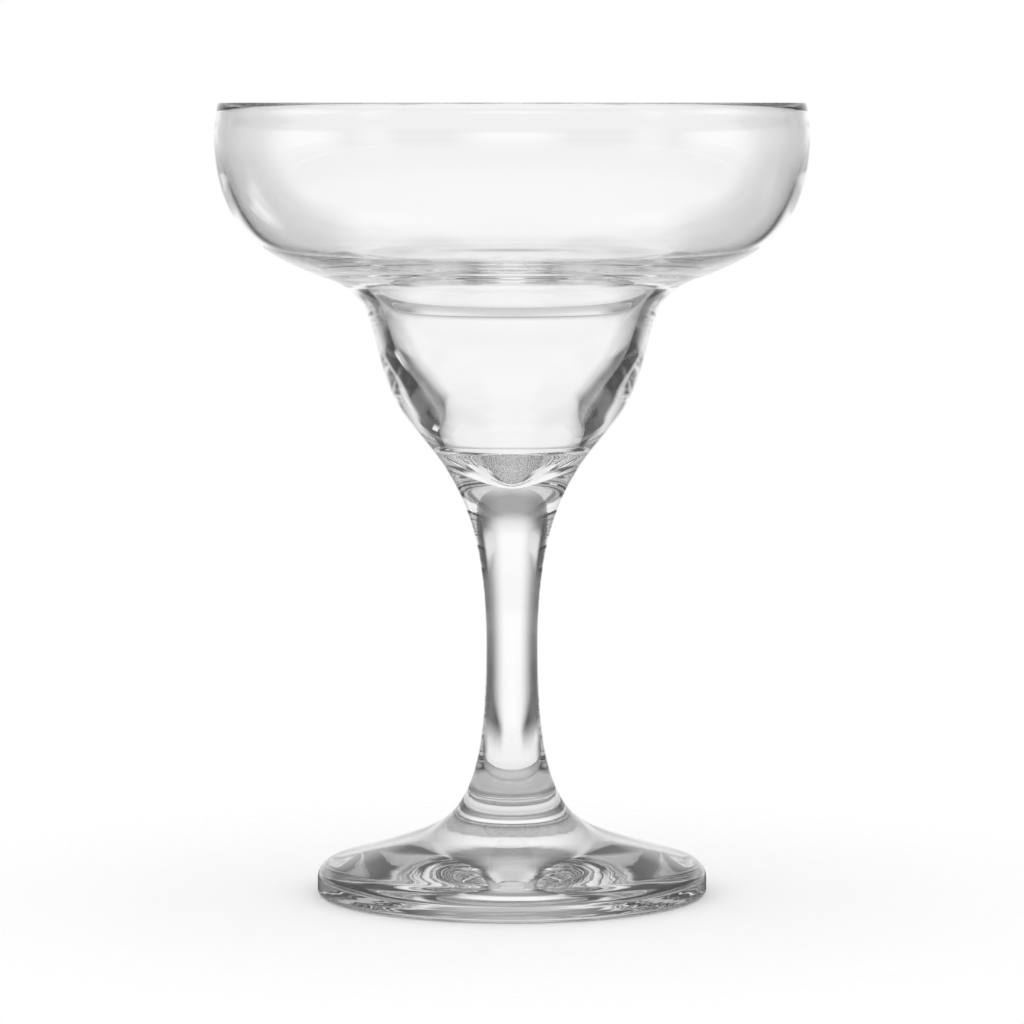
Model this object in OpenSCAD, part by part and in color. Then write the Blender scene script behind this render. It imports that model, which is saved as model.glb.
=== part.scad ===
// Margarita glass: a wide bowl that steps down into a narrow well, a solid stem and a round foot,
// made one by one in clear glass and welded end to end. Millimetres, +Z up.
// The origin is the middle of the circle on which the foot rests.

/* [Bowl] */
// Height of the bowl, from the weld with the stem to the rim
bowl_h = 80.4; // [76:0.2:92]
// Outside diameter of the bowl at its widest ring
bowl_d = 120; // [112:0.5:130]
// Depth of the widest ring below the rim
belly_drop = 6.3; // [4:0.1:8]
// How much less the rim measures across than the widest ring
rim_draw = 1; // [0:0.1:1.6]
// Lean of the wall at the rim, inwards, in degrees
rim_lean_a = 3; // [0:1:6]
// Thickness of the wall
wall = 1.2; // [1:0.1:2]
// Height over which the wall is rounded off to the rim
rim_round_h = 2; // [0.8:0.1:2.6]

/* [Well] */
// Height of the well, from the weld with the stem to the shoulder
well_h = 45.1; // [42:0.1:49]
// Outside diameter at the shoulder, where the bowl steps down into the well
shoulder_d = 75; // [71:0.2:79]
// Rise of the bowl's underside at the shoulder, in degrees
shoulder_a = 19; // [15:1:25]
// Thickness of the glass at the shoulder
shoulder_wall = 3.6; // [2.6:0.1:4.2]
// Rise of the ledge inside the bowl, over the shoulder, in degrees
ledge_a = 2; // [0:1:10]
// Outside diameter of the well at its neck, under the shoulder
neck_d = 53.2; // [52:0.1:56]
// Height of the neck, as a share of the well's height
neck_rise_share = 0.63; // [0.6:0.01:0.68]
// Slope of the well's side at the neck, in degrees
neck_a = 75.5; // [72:0.5:80]

/* [Hollow of the well] */
// Inside diameter at the well's mouth
mouth_d = 51; // [49:0.2:52]
// Height of the mouth, as a share of the well's height
mouth_rise_share = 0.85; // [0.8:0.01:0.88]
// Slope of the hollow's side at the mouth, in degrees
mouth_a = 77; // [72:1:80]
// Height of the bend, where the thick wall narrows the hollow most quickly, as a share of the well's height
bend_rise_share = 0.485; // [0.46:0.005:0.52]
// How far the bend lies from the pocket's side towards the mouth's, as a share
bend_reach_share = 0.46; // [0.4:0.01:0.5]
// Slope of the hollow's side at the bend, in degrees
bend_a = 55; // [48:1:60]
// Inside diameter of the small pocket at the bottom
pocket_d = 27.4; // [25:0.2:28.4]
// Slope of the pocket's side, in degrees
pocket_a = 71; // [66:1:78]
// Height of the rounded corner between the pocket's side and its floor
corner_h = 2.8; // [2:0.1:3.4]
// Where the corner begins on the floor, as a share of the pocket's radius
floor_reach_share = 0.8; // [0.74:0.01:0.84]
// Slope of the pocket's floor, in degrees
floor_a = 28; // [24:1:30]
// Thickness of the glass under the middle of the floor, down to the weld
base_t = 4.8; // [3.6:0.1:6]

/* [Stem] */
// Height of the stem, from weld to weld
stem_h = 60; // [52:1:76]
// Diameter of the stem at its waist
waist_d = 10.6; // [9.5:0.1:13]
// Height of the waist, as a share of the stem's height
waist_rise_share = 0.505; // [0.4:0.005:0.6]
// Diameter of the weld under the bowl
bowl_weld_d = 20; // [18:0.1:22]
// Slope of the outline at the weld under the bowl, in degrees
bowl_weld_a = 66.5; // [62:0.5:70]
// Diameter of the weld on the foot
foot_weld_d = 19.3; // [18:0.1:22]
// Slope of the outline at the weld on the foot, in degrees
foot_weld_a = 63; // [58:1:68]

/* [Foot] */
// Outside diameter of the foot
foot_d = 79.2; // [74:0.2:90]
// Height of the foot, from the surface that it stands on to the weld
foot_h = 20; // [17:0.5:24]
// Slope of the foot's top just inside its edge, in degrees
foot_slope_a = 17; // [14:1:20]
// Radius of the rounding along the bottom of the edge
edge_bottom_r = 0.9; // [0.6:0.1:1.4]
// Radius of the rounding along the top of the edge
edge_top_r = 3.5; // [2.5:0.1:4.2]
// Height of the upright band between the two roundings
edge_band_h = 2.2; // [1.2:0.1:2.8]
// Width of the flat ring that the foot stands on
ring_w = 3.5; // [2.5:0.1:6]
// Height of the hollow under the foot at its middle
punt_h = 1.2; // [0.6:0.1:3]
// Fall of the hollow's roof where it meets the ring, in degrees
punt_a = 4; // [2:1:8]

/* [Curves] */
// Handle of the bowl's curves, as a share of each curve's chord
bowl_ease_share = 0.45; // [0.38:0.01:0.5]
// Handle of the curves inside the bowl and under the foot, as a share of each curve's chord
hollow_ease_share = 0.42; // [0.36:0.01:0.46]
// Handle at the tip of the hollow, where the floor comes nearly to a point, as a share of the chord
tip_ease_share = 0.2; // [0.15:0.01:0.3]
// Handle of the curves that end in a weld, as a share of each curve's chord
weld_ease_share = 0.25; // [0.22:0.01:0.32]
// Handle at the stem's waist, as a share of each curve's chord
waist_ease_share = 0.47; // [0.42:0.01:0.54]
// Handle of the foot's slope at its edge, as a share of the chord
foot_ease_share = 0.64; // [0.5:0.01:0.66]

/* [Hidden] */
// Facets of a full turn, and straight pieces of one curve
$fn = 96;
curve_steps = 12;

// Heights at which the pieces meet
stem_z = foot_h;
bowl_z = foot_h + stem_h;
rim_z = bowl_z + bowl_h;

// Points of the outline are [radius, height], and its angles run from outwards (0) through upwards (90)
foot_weld = [foot_weld_d / 2, stem_z];
waist = [waist_d / 2, stem_z + stem_h * waist_rise_share];
bowl_weld = [bowl_weld_d / 2, bowl_z];
neck = [neck_d / 2, bowl_z + well_h * neck_rise_share];
shoulder = [shoulder_d / 2, bowl_z + well_h];
belly = [bowl_d / 2, rim_z - belly_drop];
lip = [(bowl_d - rim_draw) / 2, rim_z - rim_round_h];

// The hollow, from its tip up to the lip
tip = [0, bowl_z + base_t];
floor_edge_r = pocket_d / 2 * floor_reach_share;
floor_edge = tip + floor_edge_r * [1, tan(floor_a)];
pocket = [pocket_d / 2, floor_edge.y + corner_h];
bend = [(pocket_d + (mouth_d - pocket_d) * bend_reach_share) / 2, bowl_z + well_h * bend_rise_share];
mouth = [mouth_d / 2, bowl_z + well_h * mouth_rise_share];
inner_shoulder = shoulder + shoulder_wall * toward(shoulder_a + 90);
inner_belly = belly - [wall, 0];
inner_lip = lip - [wall, 0];

// The foot's edge, and the ring that it stands on
ring_out = foot_d / 2 - edge_bottom_r;
ring_in = ring_out - ring_w;
edge_bottom = [ring_out, edge_bottom_r];
edge_top = [foot_d / 2 - edge_top_r, edge_bottom_r + edge_band_h];

function toward(angle) = [cos(angle), sin(angle)];

function reversed(list) = [for (i = [len(list) - 1 : -1 : 0]) list[i]];

// Points of an arc about a centre
function arc(centre, radius, from, to) =
    [for (i = [0 : curve_steps]) centre + radius * toward(from + (to - from) * i / curve_steps)];

// Points of the half of an ellipse that crowns a span, from its outer end to its inner one
function crown(outer, inner, height) =
    [for (i = [0 : curve_steps])
        let (turn = toward(180 * i / curve_steps))
        (outer + inner) / 2 + (outer - inner) / 2 * turn.x + [0, height * turn.y]];

// A Bezier curve from p to q, which passes each end at its own angle
function curve(p, p_a, p_share, q, q_a, q_share) =
    let (
        chord = norm(q - p),
        p_handle = p + chord * p_share * toward(p_a),
        q_handle = q - chord * q_share * toward(q_a)
    )
    [for (i = [0 : curve_steps])
        let (t = i / curve_steps, u = 1 - t)
        u * u * u * p + 3 * u * u * t * p_handle + 3 * u * t * t * q_handle + t * t * t * q];

// One smooth outline through a list of knots, each a [point, angle, handle share]
function outline(knots) = concat(
    [knots[0][0]],
    [for (k = [1 : len(knots) - 1])
        let (a = knots[k - 1], b = knots[k], run = curve(a[0], a[1], a[2], b[0], b[1], b[2]))
        for (i = [1 : curve_steps]) run[i]]
);

module bowl() {
    outside = outline([
        [bowl_weld, bowl_weld_a, bowl_ease_share],
        [neck, neck_a, bowl_ease_share],
        [shoulder, shoulder_a, bowl_ease_share],
        [belly, 90, bowl_ease_share],
        [lip, 90 + rim_lean_a, bowl_ease_share],
    ]);
    hollow = outline([
        [tip, 0, tip_ease_share],
        [floor_edge, floor_a, hollow_ease_share],
        [pocket, pocket_a, hollow_ease_share],
        [bend, bend_a, hollow_ease_share],
        [mouth, mouth_a, hollow_ease_share],
        [inner_shoulder, ledge_a, hollow_ease_share],
        [inner_belly, 90, hollow_ease_share],
        [inner_lip, 90 + rim_lean_a, hollow_ease_share],
    ]);
    rounding = crown(lip, inner_lip, rim_round_h);
    // the rounding's two ends are the lips themselves
    rim = [for (i = [1 : curve_steps - 1]) rounding[i]];
    color("whitesmoke", 0.5)
    rotate_extrude()
    polygon(concat([[0, bowl_z]], outside, rim, reversed(hollow)));
}

module stem() {
    side = outline([
        [foot_weld, 180 - foot_weld_a, weld_ease_share],
        [waist, 90, waist_ease_share],
        [bowl_weld, bowl_weld_a, weld_ease_share],
    ]);
    color("whitesmoke", 0.5)
    rotate_extrude()
    polygon(concat([[0, stem_z]], side, [[0, bowl_z]]));
}

module foot() {
    roof = outline([
        [[0, punt_h], 0, hollow_ease_share],
        [[ring_in, 0], -punt_a, hollow_ease_share],
    ]);
    bottom_edge = arc(edge_bottom, edge_bottom_r, -90, 0);
    top_edge = arc(edge_top, edge_top_r, 0, 90 - foot_slope_a);
    slope = outline([
        [edge_top + edge_top_r * toward(90 - foot_slope_a), 180 - foot_slope_a, foot_ease_share],
        [foot_weld, 180 - foot_weld_a, weld_ease_share],
    ]);
    // the slope starts at the top edge's last point
    rise = [for (i = [1 : curve_steps]) slope[i]];
    color("whitesmoke", 0.5)
    rotate_extrude()
    polygon(concat(roof, bottom_edge, top_edge, rise, [[0, stem_z]]));
}

bowl();
stem();
foot();
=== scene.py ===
"""The looks of a clear margarita glass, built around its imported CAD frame. Metres, +Z up, foot on Z = 0."""
import math

import bmesh
import bpy
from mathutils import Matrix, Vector
from mathutils.geometry import interpolate_bezier


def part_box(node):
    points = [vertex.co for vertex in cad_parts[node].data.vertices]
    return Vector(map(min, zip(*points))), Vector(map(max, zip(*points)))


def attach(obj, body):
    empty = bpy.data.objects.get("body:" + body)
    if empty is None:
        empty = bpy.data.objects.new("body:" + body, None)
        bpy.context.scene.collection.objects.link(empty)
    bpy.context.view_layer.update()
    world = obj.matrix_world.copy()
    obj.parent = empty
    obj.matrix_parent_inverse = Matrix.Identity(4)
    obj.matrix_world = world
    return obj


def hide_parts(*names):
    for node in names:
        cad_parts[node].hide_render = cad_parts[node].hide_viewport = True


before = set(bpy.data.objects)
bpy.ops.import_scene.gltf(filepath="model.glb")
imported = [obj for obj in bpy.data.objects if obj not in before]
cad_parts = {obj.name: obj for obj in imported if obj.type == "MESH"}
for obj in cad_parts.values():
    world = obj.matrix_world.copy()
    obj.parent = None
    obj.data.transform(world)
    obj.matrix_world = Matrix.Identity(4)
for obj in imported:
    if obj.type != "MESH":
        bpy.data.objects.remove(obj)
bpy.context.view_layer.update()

MM = 0.001
DEGREE = math.radians(1)
SPIN_STEPS = 192


def linear(code):
    """An sRGB hex colour as Blender's linear colour."""
    shares = [int(code[i:i + 2], 16) / 255 for i in (0, 2, 4)]
    return *[s / 12.92 if s <= 0.04045 else ((s + 0.055) / 1.055) ** 2.4 for s in shares], 1.0


def node(tree, kind, inputs=None, **settings):
    """Adds a node with its settings. Each input gets a value, or a link from another node's output."""
    made = tree.nodes.new("ShaderNode" + kind)
    for name, value in settings.items():
        setattr(made, name, value)
    for socket, value in (inputs or {}).items():
        if isinstance(value, bpy.types.NodeSocket):
            tree.links.new(value, made.inputs[socket])
        else:
            made.inputs[socket].default_value = value
    return made


# Outlines, in millimetres. A knot is (radius, height, angle, handle share); angles run from outwards (0)
# through upwards (90), and a handle is that share of the straight way to the next knot.
def heading(angle):
    """The way that an angle points in the outline's plane."""
    return Vector((math.cos(angle * DEGREE), 0, math.sin(angle * DEGREE)))


def smooth_run(knots, steps):
    """Points of one smooth curve through the knots."""
    points = [Vector((knots[0][0], 0, knots[0][1]))]
    for (r0, z0, a0, h0), (r1, z1, a1, h1) in zip(knots, knots[1:]):
        start = Vector((r0, 0, z0))
        end = Vector((r1, 0, z1))
        chord = (end - start).length
        points += interpolate_bezier(start, start + heading(a0) * chord * h0,
                                     end - heading(a1) * chord * h1, end, steps + 1)[1:]
    return points


def round_run(centre, reach, rise, first, last, steps):
    """Points of an arc about a centre, round if its reach outwards and its rise are the same."""
    ways = [heading(first + (last - first) * i / steps) for i in range(steps + 1)]
    return [Vector((centre[0] + reach * way.x, 0, centre[1] + rise * way.z)) for way in ways]


def turned(name, outline, welds):
    """A glass piece spun about Z from its outline. At the weld heights its flat faces are fused welds."""
    bm = bmesh.new()
    verts = [bm.verts.new(point * MM) for point in outline]
    edges = [bm.edges.new(pair) for pair in zip(verts, verts[1:])]
    bmesh.ops.spin(bm, geom=verts + edges, cent=(0, 0, 0), axis=(0, 0, 1), angle=math.tau,
                   steps=SPIN_STEPS, use_merge=True)
    bmesh.ops.remove_doubles(bm, verts=bm.verts, dist=1e-7)
    bmesh.ops.recalc_face_normals(bm, faces=bm.faces)
    for face in bm.faces:
        face.smooth = True
        face.material_index = int(min(abs(face.calc_center_median().z - z * MM) for z in welds) < 1e-6)
    # an edge between glass and weld stays sharp
    for edge in bm.edges:
        edge.smooth = len({face.material_index for face in edge.link_faces}) == 1
    mesh = bpy.data.meshes.new(name)
    bm.to_mesh(mesh)
    bm.free()
    piece = bpy.data.objects.new(name, mesh)
    bpy.context.scene.collection.objects.link(piece)
    return piece


# The glass: sizes that the frame gives, and the rest of the outline
bowl_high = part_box("bowl")[1]
stem_low, stem_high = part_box("stem")
foot_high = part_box("foot")[1]
RIM_Z = bowl_high.z / MM
BOWL_WELD_Z = stem_high.z / MM
FOOT_WELD_Z = stem_low.z / MM
BELLY_R = min(bowl_high.x, bowl_high.y) / MM
FOOT_R = min(foot_high.x, foot_high.y) / MM

WALL = 1.2
RIM_ROUND_H = 2
BELLY_Z = RIM_Z - 6.3
LIP_R = BELLY_R - 0.5
LIP_Z = RIM_Z - RIM_ROUND_H
LIP_A = 93
BOWL_WELD_R = 10
BOWL_WELD_A = 66.5
FOOT_WELD_R = 9.65
FOOT_WELD_A = 117
BOWL_EASE = 0.45
HOLLOW_EASE = 0.42
TIP_EASE = 0.2
WELD_EASE = 0.25
WAIST_EASE = 0.47
FOOT_EASE = 0.64

bowl_outside = smooth_run([
    (BOWL_WELD_R, BOWL_WELD_Z, BOWL_WELD_A, BOWL_EASE),
    (26.6, BOWL_WELD_Z + 28.41, 75.5, BOWL_EASE),  # neck of the well
    (37.5, BOWL_WELD_Z + 45.1, 19, BOWL_EASE),  # shoulder
    (BELLY_R, BELLY_Z, 90, BOWL_EASE),
    (LIP_R, LIP_Z, LIP_A, BOWL_EASE),
], steps=32)
rim = round_run((LIP_R - WALL / 2, LIP_Z), WALL / 2, RIM_ROUND_H, first=0, last=180, steps=16)
bowl_hollow = smooth_run([
    (0, BOWL_WELD_Z + 4.8, 0, TIP_EASE),
    (10.96, BOWL_WELD_Z + 10.63, 28, HOLLOW_EASE),  # edge of the pocket's floor
    (13.7, BOWL_WELD_Z + 13.43, 71, HOLLOW_EASE),  # side of the pocket
    (19.13, BOWL_WELD_Z + 21.87, 55, HOLLOW_EASE),  # bend in the thick wall
    (25.5, BOWL_WELD_Z + 38.335, 77, HOLLOW_EASE),  # mouth of the well
    (36.33, BOWL_WELD_Z + 48.5, 2, HOLLOW_EASE),  # ledge over the shoulder
    (BELLY_R - WALL, BELLY_Z, 90, HOLLOW_EASE),
    (LIP_R - WALL, LIP_Z, LIP_A, HOLLOW_EASE),
], steps=24)
# the rim's two ends are the lips themselves
bowl_outline = [Vector((0, 0, BOWL_WELD_Z)), *bowl_outside, *rim[1:-1], *reversed(bowl_hollow)]

stem_side = smooth_run([
    (FOOT_WELD_R, FOOT_WELD_Z, FOOT_WELD_A, WELD_EASE),
    (5.3, FOOT_WELD_Z + 30.3, 90, WAIST_EASE),  # waist
    (BOWL_WELD_R, BOWL_WELD_Z, BOWL_WELD_A, WELD_EASE),
], steps=40)
stem_outline = [Vector((0, 0, FOOT_WELD_Z)), *stem_side, Vector((0, 0, BOWL_WELD_Z))]

EDGE_LOW_R = 0.9
EDGE_HIGH_R = 3.5
EDGE_BAND_H = 2.2
RING_W = 3.5
PUNT_H = 1.2
PUNT_A = 4
SLOPE_A = 73
ring_out = FOOT_R - EDGE_LOW_R
edge_top = (FOOT_R - EDGE_HIGH_R, EDGE_LOW_R + EDGE_BAND_H)
foot_punt = smooth_run([
    (0, PUNT_H, 0, HOLLOW_EASE),
    (ring_out - RING_W, 0, -PUNT_A, HOLLOW_EASE),
], steps=24)
foot_low_edge = round_run((ring_out, EDGE_LOW_R), EDGE_LOW_R, EDGE_LOW_R, first=-90, last=0, steps=10)
foot_top_edge = round_run(edge_top, EDGE_HIGH_R, EDGE_HIGH_R, first=0, last=SLOPE_A, steps=12)
foot_slope = smooth_run([
    (foot_top_edge[-1].x, foot_top_edge[-1].z, 90 + SLOPE_A, FOOT_EASE),
    (FOOT_WELD_R, FOOT_WELD_Z, FOOT_WELD_A, WELD_EASE),
], steps=56)
# the slope starts at the top edge's last point
foot_outline = [*foot_punt, *foot_low_edge, *foot_top_edge, *foot_slope[1:], Vector((0, 0, FOOT_WELD_Z))]

bowl = turned("glass_bowl", bowl_outline, [BOWL_WELD_Z])
stem = turned("glass_stem", stem_outline, [FOOT_WELD_Z, BOWL_WELD_Z])
foot = turned("glass_foot", foot_outline, [FOOT_WELD_Z])
for piece, name in ((bowl, "bowl"), (stem, "stem"), (foot, "foot")):
    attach(piece, "root")
    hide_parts(name)


def new_material(name):
    """An empty material."""
    material = bpy.data.materials.new(name)
    material.use_nodes = True
    material.node_tree.nodes.clear()
    return material


def soda_lime(name, swell_mm, swell_high_mm, squeeze, ring):
    """Clear, smooth soda-lime glass. Slow swells in its skin, swell_mm apart and swell_high_mm high, are
    squeezed along X, Y and Z, and ring is how strongly they run in rings about the foot's middle."""
    material = new_material(name)
    tree = material.node_tree
    place = node(tree, "TexCoord").outputs["Object"]
    out = node(tree, "VectorMath", {0: place}, operation="LENGTH")
    ringed = node(tree, "Math", {0: out.outputs["Value"], 1: ring}, operation="MULTIPLY")
    rings = node(tree, "CombineXYZ", {"X": ringed.outputs[0]})
    spread = node(tree, "VectorMath", {0: place, 1: squeeze, 2: rings.outputs[0]}, operation="MULTIPLY_ADD")
    swell = node(tree, "TexNoise", {"Vector": spread.outputs[0], "Scale": 1 / (swell_mm * MM), "Detail": 1.0})
    skin = node(tree, "Bump", {"Height": swell.outputs["Fac"], "Strength": 1.0,
                               "Distance": swell_high_mm * MM})
    glass = node(tree, "BsdfPrincipled", {
        "Base Color": linear("FDFDFD"), "Roughness": 0.0, "IOR": 1.52, "Transmission Weight": 1.0,
        "Normal": skin.outputs[0]})
    node(tree, "OutputMaterial", {"Surface": glass.outputs[0]})
    return material


# The bowl is blown and fire-polished: a clear skin with sharp reflections, which bend a little on swells
# some 16 mm apart
blown_glass = soda_lime("soda_lime_glass_blown", swell_mm=16, swell_high_mm=0.003,
                        squeeze=(1, 1, 1), ring=0)
# The stem is drawn out while soft: its swells are stretched along it, so its lights run straight down
drawn_glass = soda_lime("soda_lime_glass_drawn", swell_mm=6, swell_high_mm=0.001,
                        squeeze=(1, 1, 0.2), ring=0)
# The foot is pressed: rings from the chill of the mould, some 3 mm apart, break its lights into fine lines
pressed_glass = soda_lime("soda_lime_glass_pressed", swell_mm=3, swell_high_mm=0.025,
                          squeeze=(0.12, 0.12, 0.12), ring=1)

# The fused welds inside the glass: the eye sees nothing there, because one melt runs on into the other
fused_weld = new_material("soda_lime_glass_fused_weld")
weld_shader = node(fused_weld.node_tree, "BsdfPrincipled", {"Base Color": linear("FFFFFF"), "Alpha": 0.0})
node(fused_weld.node_tree, "OutputMaterial", {"Surface": weld_shader.outputs[0]})
for piece, glass in ((bowl, blown_glass), (stem, drawn_glass), (foot, pressed_glass)):
    piece.data.materials.append(glass)
    piece.data.materials.append(fused_weld)


def tones(tree, value, stops, unit):
    """A grey that follows a value through its stops, each a (value, tone) whose value counts units."""
    first = stops[0][0]
    last = stops[-1][0]
    share = node(tree, "MapRange", {"Value": value, "From Min": first * unit, "From Max": last * unit})
    ramp = node(tree, "ValToRGB", {0: share.outputs[0]})
    while len(ramp.color_ramp.elements) < len(stops):
        ramp.color_ramp.elements.new(1.0)
    for element, (at, tone) in zip(ramp.color_ramp.elements, stops):
        element.position = (at - first) / (last - first)
        element.color = (tone, tone, tone, 1.0)
    return ramp.outputs[0]


# The floor: a sheet of pale paper that fades out around the foot into the white backdrop
FLOOR_R = 0.24
FLOOR_Z = -0.0002
FADE_FROM_R = 0.06
FADE_TO_R = 0.15
bm = bmesh.new()
bmesh.ops.create_circle(bm, cap_ends=True, radius=FLOOR_R, segments=96)
floor_mesh = bpy.data.meshes.new("floor")
bm.to_mesh(floor_mesh)
bm.free()
floor = bpy.data.objects.new("floor", floor_mesh)
bpy.context.scene.collection.objects.link(floor)
floor.location.z = FLOOR_Z

# Matt paper has no gloss, so the eye sees only the soft shadow on it. The camera sees it plain and white.
# Through the glass it shows painted shade instead: darker and paler rings, by the distance from the foot's
# middle in millimetres, and to the left and right a painted dark shadow ring under the foot's edge. They give
# the foot its bands.
# painted shade on the paper under the foot, seen only through the glass: (millimetres out, tone)
PAINTED_FLOOR_SHADE = (
    (0, 1), (6, 1), (10, 0.9), (15, 1), (21, 0.5),
    (26, 0.95), (33, 0.95), (39, 0.65), (45, 0.9), (62, 0.97),
)
# a painted shadow ring, dark under the foot's edge at the left and right: (millimetres out, tone)
PAINTED_SIDE_SHADOW = (29, 1), (35, 0.1), (62, 0.1), (90, 0.8)
PAINTED_SHADOW_SIDE_FROM = 0.5
PAINTED_SHADOW_SIDE_FULL = 0.8
paper = new_material("matt_white_paper_painted_shade")
tree = paper.node_tree
place = node(tree, "TexCoord").outputs["Object"]
out_from_foot = node(tree, "VectorMath", {0: place}, operation="LENGTH").outputs["Value"]
fade = node(tree, "MapRange", {"Value": out_from_foot, "From Min": FADE_TO_R, "From Max": FADE_FROM_R},
            interpolation_type="SMOOTHSTEP")
way_out = node(tree, "VectorMath", {0: place}, operation="NORMALIZE")
both_sides = node(tree, "VectorMath", {0: way_out.outputs[0]}, operation="ABSOLUTE")
sideways = node(tree, "SeparateXYZ", {0: both_sides.outputs[0]}).outputs["X"]
# how far to the left or right a place lies, which is where the painted side shadow shows
side = node(tree, "MapRange", {"Value": sideways, "From Min": PAINTED_SHADOW_SIDE_FROM, "From Max": PAINTED_SHADOW_SIDE_FULL},
            interpolation_type="SMOOTHSTEP")
# the painted shade rings under the foot
painted_shade_rings = tones(tree, out_from_foot, PAINTED_FLOOR_SHADE, MM)
painted_side_shadow = tones(tree, out_from_foot, PAINTED_SIDE_SHADOW, MM)
# the painted side shadow multiplied into the painted shade rings
painted_shade_under_glass = node(tree, "Mix", {0: side.outputs[0], 6: painted_shade_rings, 7: painted_side_shadow},
                   data_type="RGBA", blend_type="MULTIPLY")
ray = node(tree, "LightPath")
# the camera sees plain white paper, and every other ray sees the painted shade
tone = node(tree, "Mix", {0: ray.outputs["Is Camera Ray"], 6: painted_shade_under_glass.outputs[2], 7: linear("F9F9F9")},
            data_type="RGBA")
sheet = node(tree, "BsdfPrincipled", {"Base Color": tone.outputs[2], "Roughness": 1.0,
                                      "Specular IOR Level": 0.0, "Alpha": fade.outputs[0]})
node(tree, "OutputMaterial", {"Surface": sheet.outputs[0]})
floor_mesh.materials.append(paper)

# The studio, as the world: white panels ahead of the camera, at both sides and behind it, with dark walls
# between them. Stops are (tilt in degrees, tone), from straight down (-90) to straight up (90).
PANEL_TONES = (
    (-90, 0.9), (-46, 0.9), (-36, 1), (12, 1), (17, 0.8),
    (22, 0.36), (33, 0.34), (42, 0.55), (52, 0.65), (90, 0.7),
)
WALL_TONES = (
    (-90, 0.9), (-58, 0.9), (-46, 0.08), (-8, 0.08), (-4, 0.25), (4, 0.25),
    (8, 0.08), (46, 0.08), (54, 0.9), (62, 0.9), (90, 0.7),
)
# The upper room from beside the glass round to behind the camera, dark up to its ceiling
REAR_TONES = (3, 0.08), (24, 0.08), (36, 0.5), (60, 0.7), (90, 0.7)
# How much of the panel ahead shows in a band that runs out to the panel's ends
WIDE_TONES = (4, 0), (9, 0.75), (15, 0.75), (21, 0)
# How much of a low white strip shows at the left, between two panels
STRIP_TONES = (-33, 0), (-26, 0.95), (-20, 0.95), (-17, 0)
# Turns from a panel's middle: out to the first it is full, and by its reach it has faded out
PANEL_FULL = 9 * DEGREE
AHEAD_REACH = 41 * DEGREE
SIDE_REACH = 26 * DEGREE
LOW_REACH = 19 * DEGREE
DOME_STRENGTH = 1.06

world = bpy.data.worlds.new("studio")
bpy.context.scene.world = world
world.use_nodes = True
# light sampling would not see the Light Path choices below
world.cycles.sampling_method = "NONE"
tree = world.node_tree
tree.nodes.clear()
way = node(tree, "TexCoord").outputs["Generated"]
flat = node(tree, "SeparateXYZ", {0: way})
sizes = node(tree, "VectorMath", {0: way}, operation="ABSOLUTE")
level = node(tree, "SeparateXYZ", {0: sizes.outputs[0]})
short = node(tree, "Math", {0: level.outputs["X"], 1: level.outputs["Y"]}, operation="MINIMUM")
long = node(tree, "Math", {0: level.outputs["X"], 1: level.outputs["Y"]}, operation="MAXIMUM")
tilt = node(tree, "Math", {0: flat.outputs["Z"]}, operation="ARCSINE").outputs[0]
# the turn from the nearest panel's middle, and from straight ahead of the camera
turn = node(tree, "Math", {0: short.outputs[0], 1: long.outputs[0]}, operation="ARCTAN2").outputs[0]
ahead_turn = node(tree, "Math", {0: level.outputs["X"], 1: flat.outputs["Y"]}, operation="ARCTAN2").outputs[0]

# Parts of the room with soft edges, each from an angle in degrees where it begins to one where it is full
soft_parts = {
    "low": (tilt, -9, -16),
    "raised": (tilt, 3, 8),
    "downward": (tilt, -3, -8),
    "ahead": (ahead_turn, 45, 34),
    "rear": (ahead_turn, 50, 66),
    "camera_side": (ahead_turn, 80, 105),
    "between": (turn, 38, 41),
}
within = {}
for name, (angle, begins, full) in soft_parts.items():
    part = node(tree, "MapRange", {"Value": angle, "From Min": begins * DEGREE, "From Max": full * DEGREE},
                interpolation_type="SMOOTHSTEP")
    within[name] = part.outputs[0]

front = node(tree, "Math", {0: ahead_turn, 1: 45 * DEGREE}, operation="LESS_THAN")
level_reach = node(tree, "Mix", {0: front.outputs[0], 2: SIDE_REACH, 3: AHEAD_REACH}, data_type="FLOAT")
reach = node(tree, "Mix", {0: within["low"], 2: level_reach.outputs[0], 3: LOW_REACH}, data_type="FLOAT")
panel = node(tree, "MapRange", {"Value": turn, "From Min": reach.outputs[0], "From Max": PANEL_FULL},
             interpolation_type="SMOOTHSTEP")
wide_share = tones(tree, tilt, WIDE_TONES, DEGREE)
wide_band = node(tree, "Math", {0: within["ahead"], 1: wide_share}, operation="MULTIPLY")
left = node(tree, "Math", {0: flat.outputs["X"], 1: 0.0}, operation="LESS_THAN")
left_between = node(tree, "Math", {0: within["between"], 1: left.outputs[0]}, operation="MULTIPLY")
strip_share = tones(tree, tilt, STRIP_TONES, DEGREE)
strip = node(tree, "Math", {0: left_between.outputs[0], 1: strip_share}, operation="MULTIPLY")
wide_panel = node(tree, "Math", {0: panel.outputs[0], 1: wide_band.outputs[0]}, operation="MAXIMUM")
white_share = node(tree, "Math", {0: wide_panel.outputs[0], 1: strip.outputs[0]}, operation="MAXIMUM")
walls = tones(tree, tilt, WALL_TONES, DEGREE)
panels = tones(tree, tilt, PANEL_TONES, DEGREE)
room = node(tree, "Mix", {0: white_share.outputs[0], 6: walls, 7: panels}, data_type="RGBA")
upper_rear = node(tree, "Math", {0: within["rear"], 1: within["raised"]}, operation="MULTIPLY")
rear_wall = tones(tree, tilt, REAR_TONES, DEGREE)
whole_room = node(tree, "Mix", {0: upper_rear.outputs[0], 6: room.outputs[2], 7: rear_wall}, data_type="RGBA")
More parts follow.
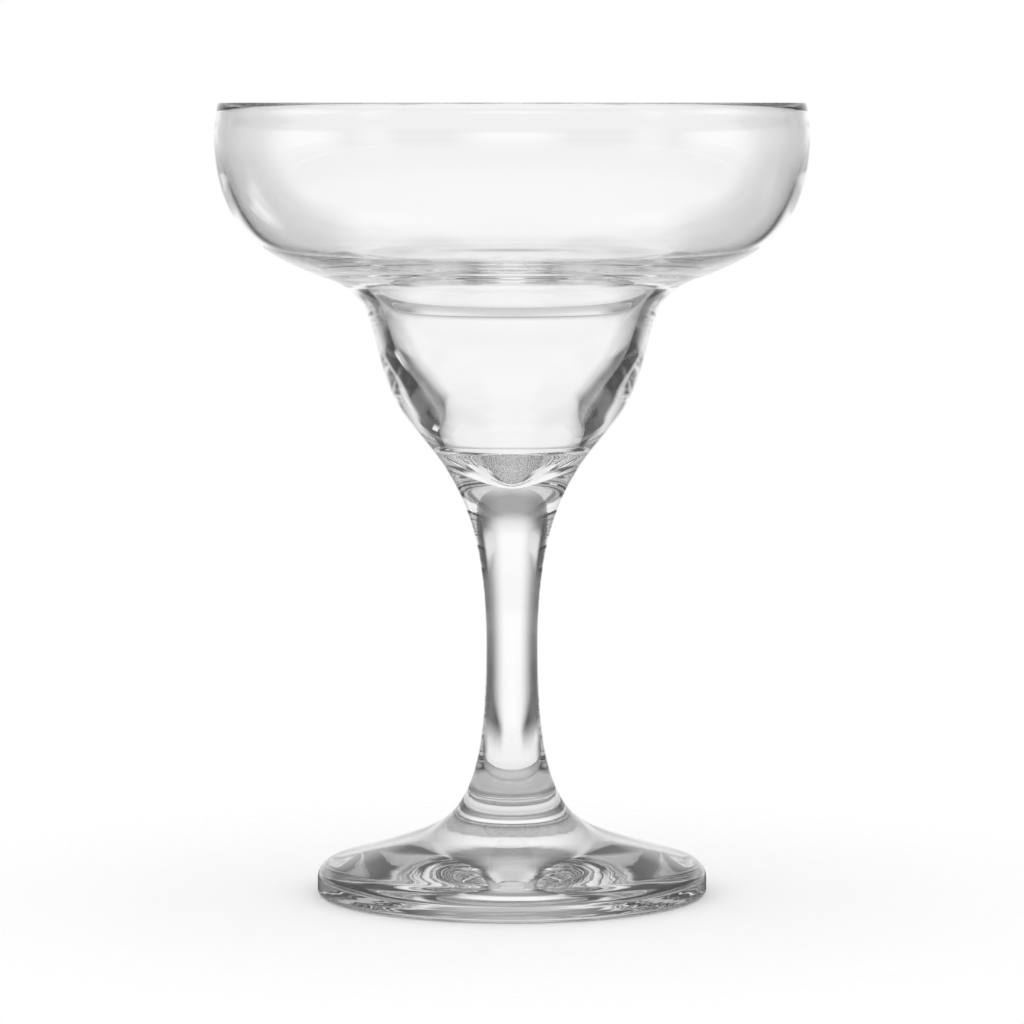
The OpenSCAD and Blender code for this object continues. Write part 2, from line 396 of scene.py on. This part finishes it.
# a white table top on the camera's side of the glass
table = node(tree, "Math", {0: within["camera_side"], 1: within["downward"]}, operation="MULTIPLY")
furnished = node(tree, "Mix", {0: table.outputs[0], 6: whole_room.outputs[2], 7: linear("F9F9F9")},
                 data_type="RGBA")

# The glass shows the studio, the floor is lit by an even dome, and the camera sees a white backdrop
studio = node(tree, "Background", {"Color": furnished.outputs[2], "Strength": 1.0})
dome = node(tree, "Background", {"Color": linear("FFFFFF"), "Strength": DOME_STRENGTH})
backdrop = node(tree, "Background", {"Color": linear("FFFFFF"), "Strength": 1.0})
ray = node(tree, "LightPath")
lit = node(tree, "MixShader", {0: ray.outputs["Diffuse Depth"], 1: studio.outputs[0], 2: dome.outputs[0]})
seen = node(tree, "MixShader", {0: ray.outputs["Is Camera Ray"], 1: lit.outputs[0], 2: backdrop.outputs[0]})
node(tree, "OutputWorld", {"Surface": seen.outputs[0]})

SOFTBOX_W = 0.3
SOFTBOX_H = 0.6
SOFTBOX_WATTS = 0.34
SOFTBOX_Z = 0.2
SOFTBOX_AIM = Vector((0, 0, 0.13))
SOFTBOX_TURN = 55


def softbox(name, turn):
    """A tall softbox, 1 m off and turn degrees round from the camera, that dims towards its edges."""
    lamp = bpy.data.lights.new(name, "AREA")
    lamp.shape = "RECTANGLE"
    lamp.size = SOFTBOX_W
    lamp.size_y = SOFTBOX_H
    lamp.energy = SOFTBOX_WATTS
    lamp.use_nodes = True
    tree = lamp.node_tree
    tree.nodes.clear()
    spot = node(tree, "NewGeometry").outputs["Parametric"]
    from_middle = node(tree, "VectorMath", {0: spot, 1: (0.5, 0.5, 0)}, operation="DISTANCE")
    glow = node(tree, "MapRange", {"Value": from_middle.outputs["Value"], "From Min": 0.5, "From Max": 0.05},
                interpolation_type="SMOOTHSTEP")
    light = node(tree, "Emission", {"Color": linear("FFFFFF"), "Strength": glow.outputs[0]})
    node(tree, "OutputLight", {"Surface": light.outputs[0]})
    made = bpy.data.objects.new(name, lamp)
    bpy.context.scene.collection.objects.link(made)
    made.location = Vector((math.sin(turn * DEGREE), -math.cos(turn * DEGREE), SOFTBOX_Z))
    made.rotation_euler = (SOFTBOX_AIM - made.location).to_track_quat("-Z", "Y").to_euler()


softbox("softbox_left", -SOFTBOX_TURN)
softbox("softbox_right", SOFTBOX_TURN)

# The camera: a long lens about 1 m from the glass, level with the rim and tipped down a little
LENS_MM = 173.7
SENSOR_MM = 36
CAMERA_AWAY = 0.9986
CAMERA_Z = 0.1604
CAMERA_TILT = 85.263 * DEGREE
camera_data = bpy.data.cameras.new("camera")
camera_data.sensor_width = SENSOR_MM
camera_data.lens = LENS_MM
camera = bpy.data.objects.new("camera", camera_data)
bpy.context.scene.collection.objects.link(camera)
camera.location = (0, -CAMERA_AWAY, CAMERA_Z)
camera.rotation_euler = (CAMERA_TILT, 0, 0)
scene = bpy.context.scene
scene.camera = camera
scene.view_settings.view_transform = "Standard"
# light that is caught inside the thick glass takes many turns before it leaves
scene.cycles.max_bounces = 64
scene.cycles.transmission_bounces = 64
scene.cycles.glossy_bounces = 64
scene.cycles.transparent_max_bounces = 48
